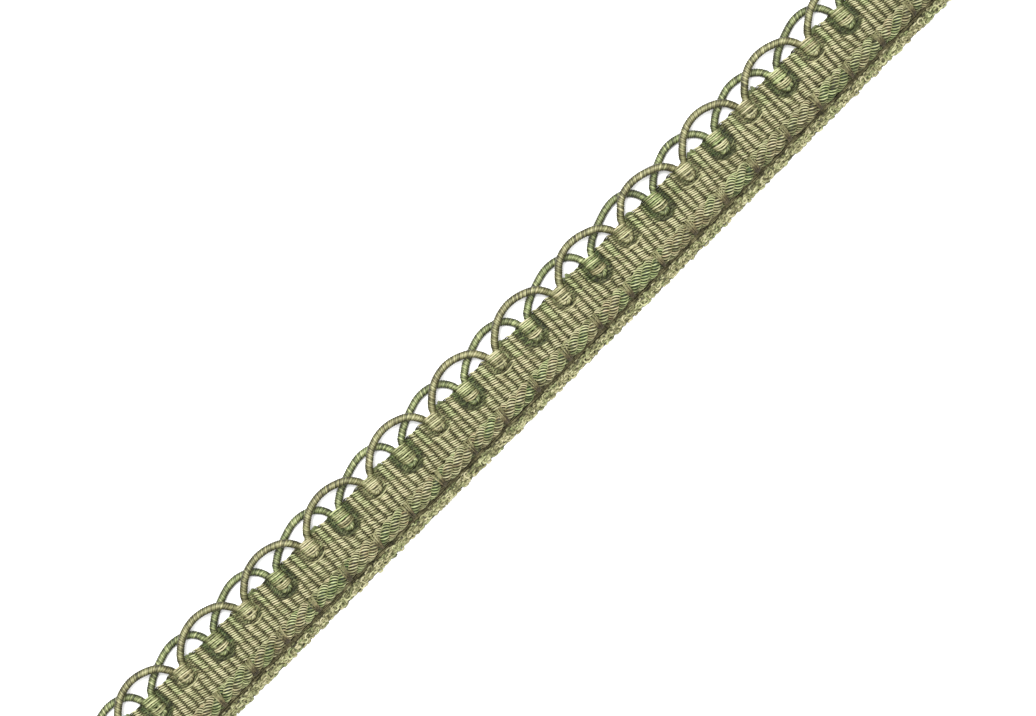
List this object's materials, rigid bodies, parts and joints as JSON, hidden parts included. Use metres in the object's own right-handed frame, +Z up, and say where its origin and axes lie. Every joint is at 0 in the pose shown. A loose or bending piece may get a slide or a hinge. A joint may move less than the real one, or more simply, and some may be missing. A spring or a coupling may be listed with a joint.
{
  "type": "cord trim",
  "caption": "Flat woven cord trim with a scalloped edge of overlapping wrapped-cord loops, a couched twisted cord and a narrow sewing edge.",
  "frame": {"origin": "middle of the underside of the bounding box", "axes": "+X along the trim, +Y across it towards the loops, +Z up out of its face"},
  "size_m": [0.3074, 0.0251, 0.0057],
  "materials": {
    "woven_ground": "matte",
    "khaki_gimp": "matte",
    "green_gimp": "matte",
    "khaki_binding": "matte",
    "green_binding": "matte",
    "mixed_cord": "matte",
    "couching_yarn": "matte",
    "selvedge_yarn": "matte"
  },
  "bodies": {
    "root": {"ribbed_band": "woven_ground", "front_gimp_loops": "khaki_gimp", "back_gimp_loops": "green_gimp", "twisted_cord": "mixed_cord", "couching_thread": "couching_yarn", "selvedge_tape": "selvedge_yarn", "front_binding_01": "khaki_binding", "front_binding_02": "khaki_binding", "front_binding_03": "khaki_binding", "front_binding_04": "khaki_binding", "front_binding_05": "khaki_binding", "front_binding_06": "khaki_binding", "front_binding_07": "khaki_binding", "front_binding_08": "khaki_binding", "front_binding_09": "khaki_binding", "front_binding_10": "khaki_binding", "front_binding_11": "khaki_binding", "front_binding_12": "khaki_binding", "front_binding_13": "khaki_binding", "front_binding_14": "khaki_binding", "front_binding_15": "khaki_binding", "back_binding_01": "green_binding", "back_binding_02": "green_binding", "back_binding_03": "green_binding", "back_binding_04": "green_binding", "back_binding_05": "green_binding", "back_binding_06": "green_binding", "back_binding_07": "green_binding", "back_binding_08": "green_binding", "back_binding_09": "green_binding", "back_binding_10": "green_binding", "back_binding_11": "green_binding", "back_binding_12": "green_binding", "back_binding_13": "green_binding", "back_binding_14": "green_binding"}
  },
  "joints": []
}
